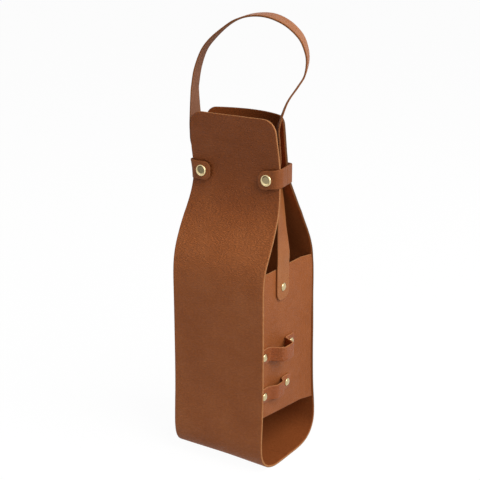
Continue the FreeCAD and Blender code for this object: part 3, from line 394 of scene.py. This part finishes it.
LOOP_THICK = 2
LOOP_WIDTH = 15
LOOP_CORNER = 3
LOOP_ROW, LOOP_COLUMNS = 1.2, 5
LOOP_LEAN = 0.25
LOOP_MID = 49
LOOP_FRONT = -44.7
LOOP_FOOT = -31
loop_grain = pebbled_cowhide("opener_loop_cowhide", "#9B5125", "#A25729", "#A95D2E", 0.42, 0.5)
loop_skins = (loop_grain, cut_edge, flesh_side)
for name, height, bulge, rear_foot, rear_end, bends in (
        ("upper", 127, 13.8, 0.8, 17, (4, 6, 4.2, 2.2)), ("lower", 84.7, 6, -6, 9.7, (7, 7, 5, 4))):
    lean = (rear_foot - LOOP_FOOT) * LOOP_LEAN
    loop_line = bend_line(((LOOP_MID, LOOP_FRONT), (LOOP_MID, LOOP_FOOT), (LOOP_MID + bulge, LOOP_FOOT + lean),
                           (LOOP_MID + bulge, rear_foot - lean), (LOOP_MID, rear_foot), (LOOP_MID, rear_end)),
                          bends, step=0.5)
    loop_length = np.linalg.norm(np.diff(loop_line, axis=0), axis=1).sum()
    loop_stops = row_stops(loop_length, LOOP_ROW, LOOP_CORNER, LOOP_CORNER)
    loop_rows = []
    for (reach, depth), stop in zip(walk(loop_line, loop_stops), loop_stops):
        half = LOOP_WIDTH / 2 - EDGE_ROUND - corner_inset(min(stop, loop_length - stop), LOOP_CORNER)
        loop_rows.append([(reach, depth, height - half * share) for share in shares_across(half, LOOP_COLUMNS)])
    loop = cut_leather(f"opener_loop_{name}_strap", loop_rows, LOOP_THICK, loop_skins)
    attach(loop, "carrier")
    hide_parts(f"opener_loop_{name}")

# Carrying strap: one long strap of cowhide, riveted to both side panels, that runs up inside the neck
# and arches over it in a loop. Handling has polished it, so it is paler and smoother than the sheet.

STRAP_WIDTH = 22
STRAP_THICK = 1.8
STRAP_CORNER = 8
STRAP_ROW, STRAP_COLUMNS = 2.5, 7
# Each place is X, Y and Z in mm, then the strap's turn about the vertical and the droop of its width, in degrees.
RIGHT_STRAND = ((49.2, -7, 178, 0, 0), (49.2, -7, 194.5, 0, 0), (49.2, -7, 211, 0, 0), (49.1, -6.2, 225.9, 0, 0),
                (45.4, -3.5, 249.7, 10, 0), (42.5, -2.3, 282.5, 20, 0), (42, -4.1, 303.4, 32, 0),
                (42, -5.1, 321.3, 40, 0), (42.6, -7.3, 339.1, 38, 6), (45.3, -10, 354, 34, 11))
STRAP_LOOP = ((53.3, -9.5, 375.9, 33, 14), (61.4, -4.1, 391, 33, 13), (66, 0.5, 401.4, 31, 12),
              (68.2, 2, 415.7, 25, 8), (66.4, 1, 427.9, 22, 1), (60.8, -0.5, 438.9, 22, -4),
              (48.3, -2.6, 449.4, 22, -5), (31.5, -4.6, 455.5, 21, -3), (13.5, -6.6, 455.4, 27, 2),
              (-3.4, -8.4, 450.3, 32, 7), (-17.7, -9.7, 441.6, 33, 10), (-30.8, -10.7, 430.4, 30, 14),
              (-40.7, -11.2, 418.1, 23, 9), (-47.6, -11.5, 401.4, 18, 3), (-50.9, -11.5, 385.5, 17, 0),
              (-51.8, -11.5, 376, 16, 0))
LEFT_STRAND = ((-51.7, -11, 350, 6, 0), (-50.3, -10.6, 339, -4, 0), (-48, -9.6, 330, -22, 0),
               (-45, -7.6, 321.5, -36, 0), (-42.6, -5, 312.5, -44, 0), (-41.5, -3.8, 303.4, -34, 0),
               (-43, -2.3, 282.5, -20, 0), (-45.7, -3.5, 249.7, -8, 0), (-49.1, -6.2, 225.9, 0, 0),
               (-49.2, -7, 211, 0, 0), (-49.2, -7, 194.5, 0, 0), (-49.2, -7, 178, 0, 0))
strap_line = through(RIGHT_STRAND + STRAP_LOOP + LEFT_STRAND, steps=10)
strap_length = np.linalg.norm(np.diff(strap_line[:, :3], axis=0), axis=1).sum()
strap_stops = row_stops(strap_length, STRAP_ROW, STRAP_CORNER, STRAP_CORNER)
strap_walk = walk(strap_line, strap_stops)
strap_runs = np.gradient(strap_walk[:, :3], strap_stops, axis=0)
strap_rows = []
for (x, y, z, turn, droop), run, stop in zip(strap_walk, strap_runs, strap_stops):
    run = run / np.linalg.norm(run)
    turn, droop = np.radians((turn, droop))
    level = np.array((-np.sin(turn) * np.cos(droop), np.cos(turn) * np.cos(droop), -np.sin(droop)))
    level = level - run * (level @ run)
    level /= np.linalg.norm(level)
    half = STRAP_WIDTH / 2 - EDGE_ROUND - corner_inset(min(stop, strap_length - stop), STRAP_CORNER)
    strap_rows.append([np.array((x, y, z)) + level * half * share for share in shares_across(half, STRAP_COLUMNS)])
strap_grain = pebbled_cowhide("handled_cowhide", "#A25E30", "#AA6636", "#B16E3C", 0.5, 0.3)
strap_flesh = bare_leather("strap_flesh_side", "#95644A", "#A8765C", NAP, 0.85)
strap_edge = bare_leather("burnished_strap_edge", "#7A4826", "#96603A", FIBRE, 0.6)
strap_skins = (strap_grain, strap_edge, strap_flesh)
carrying_strap = cut_leather("carrying_strap", strap_rows, STRAP_THICK, strap_skins)
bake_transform(carrying_strap)
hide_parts("handle_loop", "handle_strand_right", "handle_strand_left")

# Neck straps: a narrow strap on each side, riveted to the back flap, wraps the flaps' edges and snaps on the front.
# Each is one strip of cowhide, shown as two lengths that butt on its side, because it bends at both corners.
# Wear has lifted the right one towards its corner and set the top of the left one's front corner outwards.

NECK_WIDTH = 19
NECK_THICK = 2
NECK_CORNER = 6.5
NECK_ROW, NECK_COLUMNS = 1.5, 7
NECK_HEIGHT = 301
NECK_CORNERS = ((19, 17.2), (48, 10.4), (52.6, -20.2), (28.5, -20.2))
NECK_BENDS = (4.5, 6.5)
NECK_SEAM = (50, -3)
LEFT_FLARE = ((10, 0), (19, 2.2), (28, 2.2), (45, 0))
neck_line = bend_line(NECK_CORNERS, NECK_BENDS, step=0.6)
neck_length = np.linalg.norm(np.diff(neck_line, axis=0), axis=1).sum()
right_rise = ((0, -1.2), (9.5, 0), (26, 2.8), (45, 3), (70, 2), (neck_length, 0))
neck_stops = row_stops(neck_length, NECK_ROW, NECK_CORNER, NECK_CORNER)
neck_plan = walk(neck_line, neck_stops)
neck_grain = pebbled_cowhide("neck_strap_cowhide", "#914F23", "#985528", "#9F5B2E", 0.52, 0.4)
neck_skins = (neck_grain, strap_edge, strap_flesh)
seam = int(np.argmax((neck_plan[:, 0] > NECK_SEAM[0]) & (neck_plan[:, 1] < NECK_SEAM[1])))
for name, side in (("right", 1), ("left", -1)):
    neck_rows = []
    for (reach, depth), stop in zip(neck_plan, neck_stops):
        half = NECK_WIDTH / 2 - EDGE_ROUND - corner_inset(min(stop, neck_length - stop), NECK_CORNER)
        rise = np.interp(neck_length - stop, *zip(*right_rise)) if side > 0 else 0
        flare = np.interp(neck_length - stop, *zip(*LEFT_FLARE)) if side < 0 else 0
        neck_rows.append([(side * (reach + flare * (0.5 + side * share / 2) ** 2), depth,
                           NECK_HEIGHT + rise + side * half * share) for share in shares_across(half, NECK_COLUMNS)])
    rear = cut_leather(f"neck_strap_{name}_rear", neck_rows[:seam + 1], NECK_THICK, neck_skins, joined=("last",))
    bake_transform(rear)
    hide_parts(f"strap_anchor_{name}", f"neck_strap_{name}")
    tab = cut_leather(f"neck_strap_{name}_tab", neck_rows[seam:], NECK_THICK, neck_skins, joined=("first",))
    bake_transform(tab)
    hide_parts(f"strap_tab_{name}")

# Rivets and snaps: pressed brass with a pale gold plate. The rivets hold the straps and the loops,
# and each snap is a cap and socket in the strap's tab over a stud and post in the front flap.

WEAR = 0.8
CAP_DISH = 0.0046
# How far the painted reflection's centre sits above the cap's middle, in m, so that the painted highlight round it is
# widest below.
PAINTED_REFLECTION_RISE = 0.0008


def gold_plated_brass(name, centre=(0, 0), dish=0):
    """Polished pale gold plate: a bright, slightly soft mirror with fine wear that breaks up its highlights.
    The wear is finer than a tenth of a millimetre and is drawn coarser, so that it shows. The dish of a snap's cap
    is painted dark, a painted reflection, and the plate round it is painted brighter, most of all below, a painted
    highlight. centre is the middle of the dark dish in X and Z, and dish its radius, in m."""
    material, output = new_material(name)
    tree = material.node_tree
    place = add(tree, "ShaderNodeTexCoord").outputs["Object"]
    wear = add(tree, "ShaderNodeTexNoise", {"Vector": place, "Scale": 1000 / WEAR, "Detail": 4})
    rub = add(tree, "ShaderNodeMapRange", {"Value": wear.outputs[0], "From Min": 0.3, "From Max": 0.7,
                                           "To Min": 0.14, "To Max": 0.26})
    colour = add(tree, "ShaderNodeValToRGB", {0: wear.outputs[0]}, steps=((0.3, "#B9A67D"), (0.7, "#D2C196")))
    if dish:
        # Painted reflection: the dish is drawn dark and the plate round it brighter, a painted highlight.
        flat = add(tree, "ShaderNodeVectorMath", {0: place, 1: (1, 0, 1)}, operation="MULTIPLY")
        apart = add(tree, "ShaderNodeVectorMath", {0: flat.outputs[0], 1: (centre[0], 0, centre[1])},
                    operation="DISTANCE")
        rim = add(tree, "ShaderNodeMapRange", {"Value": apart.outputs["Value"], "From Min": 0.8 * dish,
                                               "From Max": dish, "To Min": 0.26, "To Max": 1.2},
                  interpolation_type="SMOOTHSTEP")
        colour = add(tree, "ShaderNodeVectorMath", {0: colour.outputs[0], 1: rim.outputs[0]}, operation="MULTIPLY")
    plate = add(tree, "ShaderNodeBsdfPrincipled", {"Base Color": colour.outputs[0], "Metallic": 1,
                                                   "Roughness": rub.outputs[0]})
    tree.links.new(plate.outputs[0], output.inputs["Surface"])
    return material


brass = gold_plated_brass("gold_plated_brass")
for name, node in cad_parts.items():
    if name.startswith(("snap_", "handle_rivet", "loop_rivet", "strap_rivet")):
        plate = brass
        # Each snap cap gets a painted reflection: a dark dish and a brighter plate round it.
        if name.startswith("snap_cap"):
            low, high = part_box(name)
            middle = ((low[0] + high[0]) / 2, (low[2] + high[2]) / 2 + PAINTED_REFLECTION_RISE)
            plate = gold_plated_brass("gold_plated_brass_" + name, middle, CAP_DISH)
        node.data.materials.clear()
        node.data.materials.append(plate)

# Studio: a plain pale floor, a white surround, three soft lamps and the view of the photograph.
# The floor and the surround are white only where they are seen, so that they add little light to the leather.


def seen_directly(tree):
    """1 for what the camera sees, straight or in metal and glass, and 0 for light on its way to the object."""
    path = add(tree, "ShaderNodeLightPath").outputs
    shown = add(tree, "ShaderNodeMath", {0: path["Is Camera Ray"], 1: path["Is Glossy Ray"]}, operation="MAXIMUM")
    shown = add(tree, "ShaderNodeMath", {0: shown.outputs[0], 1: path["Is Transmission Ray"]}, operation="MAXIMUM")
    return shown.outputs[0]


floor_mesh = bpy.data.meshes.new("floor")
floor_mesh.from_pydata([(-6, -6, 0), (6, -6, 0), (6, 6, 0), (-6, 6, 0)], [], [(0, 1, 2, 3)])
floor = bpy.data.objects.new("floor", floor_mesh)
bpy.context.scene.collection.objects.link(floor)
floor_paint, output = new_material("floor_paint")
tree = floor_paint.node_tree
matt = add(tree, "ShaderNodeBsdfDiffuse", {"Color": linear("#BCBCBC")})
faint = add(tree, "ShaderNodeBsdfDiffuse", {"Color": linear("#4A4A4A")})
glow = add(tree, "ShaderNodeEmission", {"Color": linear("#FFFFFF"), "Strength": 0.96})
shown = add(tree, "ShaderNodeAddShader", {0: faint.outputs[0], 1: glow.outputs[0]})
paint = add(tree, "ShaderNodeMixShader", {0: seen_directly(tree), 1: matt.outputs[0], 2: shown.outputs[0]})
tree.links.new(paint.outputs[0], output.inputs["Surface"])
floor_mesh.materials.append(floor_paint)

world = bpy.data.worlds.new("studio")
bpy.context.scene.world = world
world.use_nodes = True
tree = world.node_tree
tree.nodes.clear()
dim = add(tree, "ShaderNodeBackground", {"Color": linear("#FFFFFF"), "Strength": 0.14})
white = add(tree, "ShaderNodeBackground", {"Color": linear("#FFFFFF"), "Strength": 1})
sky = add(tree, "ShaderNodeMixShader", {0: seen_directly(tree), 1: dim.outputs[0], 2: white.outputs[0]})
add(tree, "ShaderNodeOutputWorld", {"Surface": sky.outputs[0]})

LAMP_AIM = Vector((0, 0, 0.22))
for name, place, width, watts in (("key", (1.65, -0.35, 1.6), 2, 52), ("top", (0.1, -0.7, 2.3), 1.5, 3.2),
                                  ("fill", (-0.3, -0.9, 0.05), 0.5, 1.2)):
    lamp = bpy.data.lights.new(name, "AREA")
    lamp.size = width
    lamp.energy = watts
    holder = bpy.data.objects.new(name, lamp)
    holder.location = place
    holder.rotation_euler = (LAMP_AIM - Vector(place)).to_track_quat("-Z", "Y").to_euler()
    bpy.context.scene.collection.objects.link(holder)

VIEW_AIM = Vector((-0.0059, 0, 0.22819))
view = bpy.data.cameras.new("view")
view.sensor_width = 36
view.lens = 84.79
camera = bpy.data.objects.new("view", view)
camera.location = (0.5923, -0.9163, 0.5724)
camera.rotation_euler = (VIEW_AIM - camera.location).to_track_quat("-Z", "Y").to_euler()
bpy.context.scene.collection.objects.link(camera)
bpy.context.scene.camera = camera
bpy.context.scene.view_settings.view_transform = "Standard"
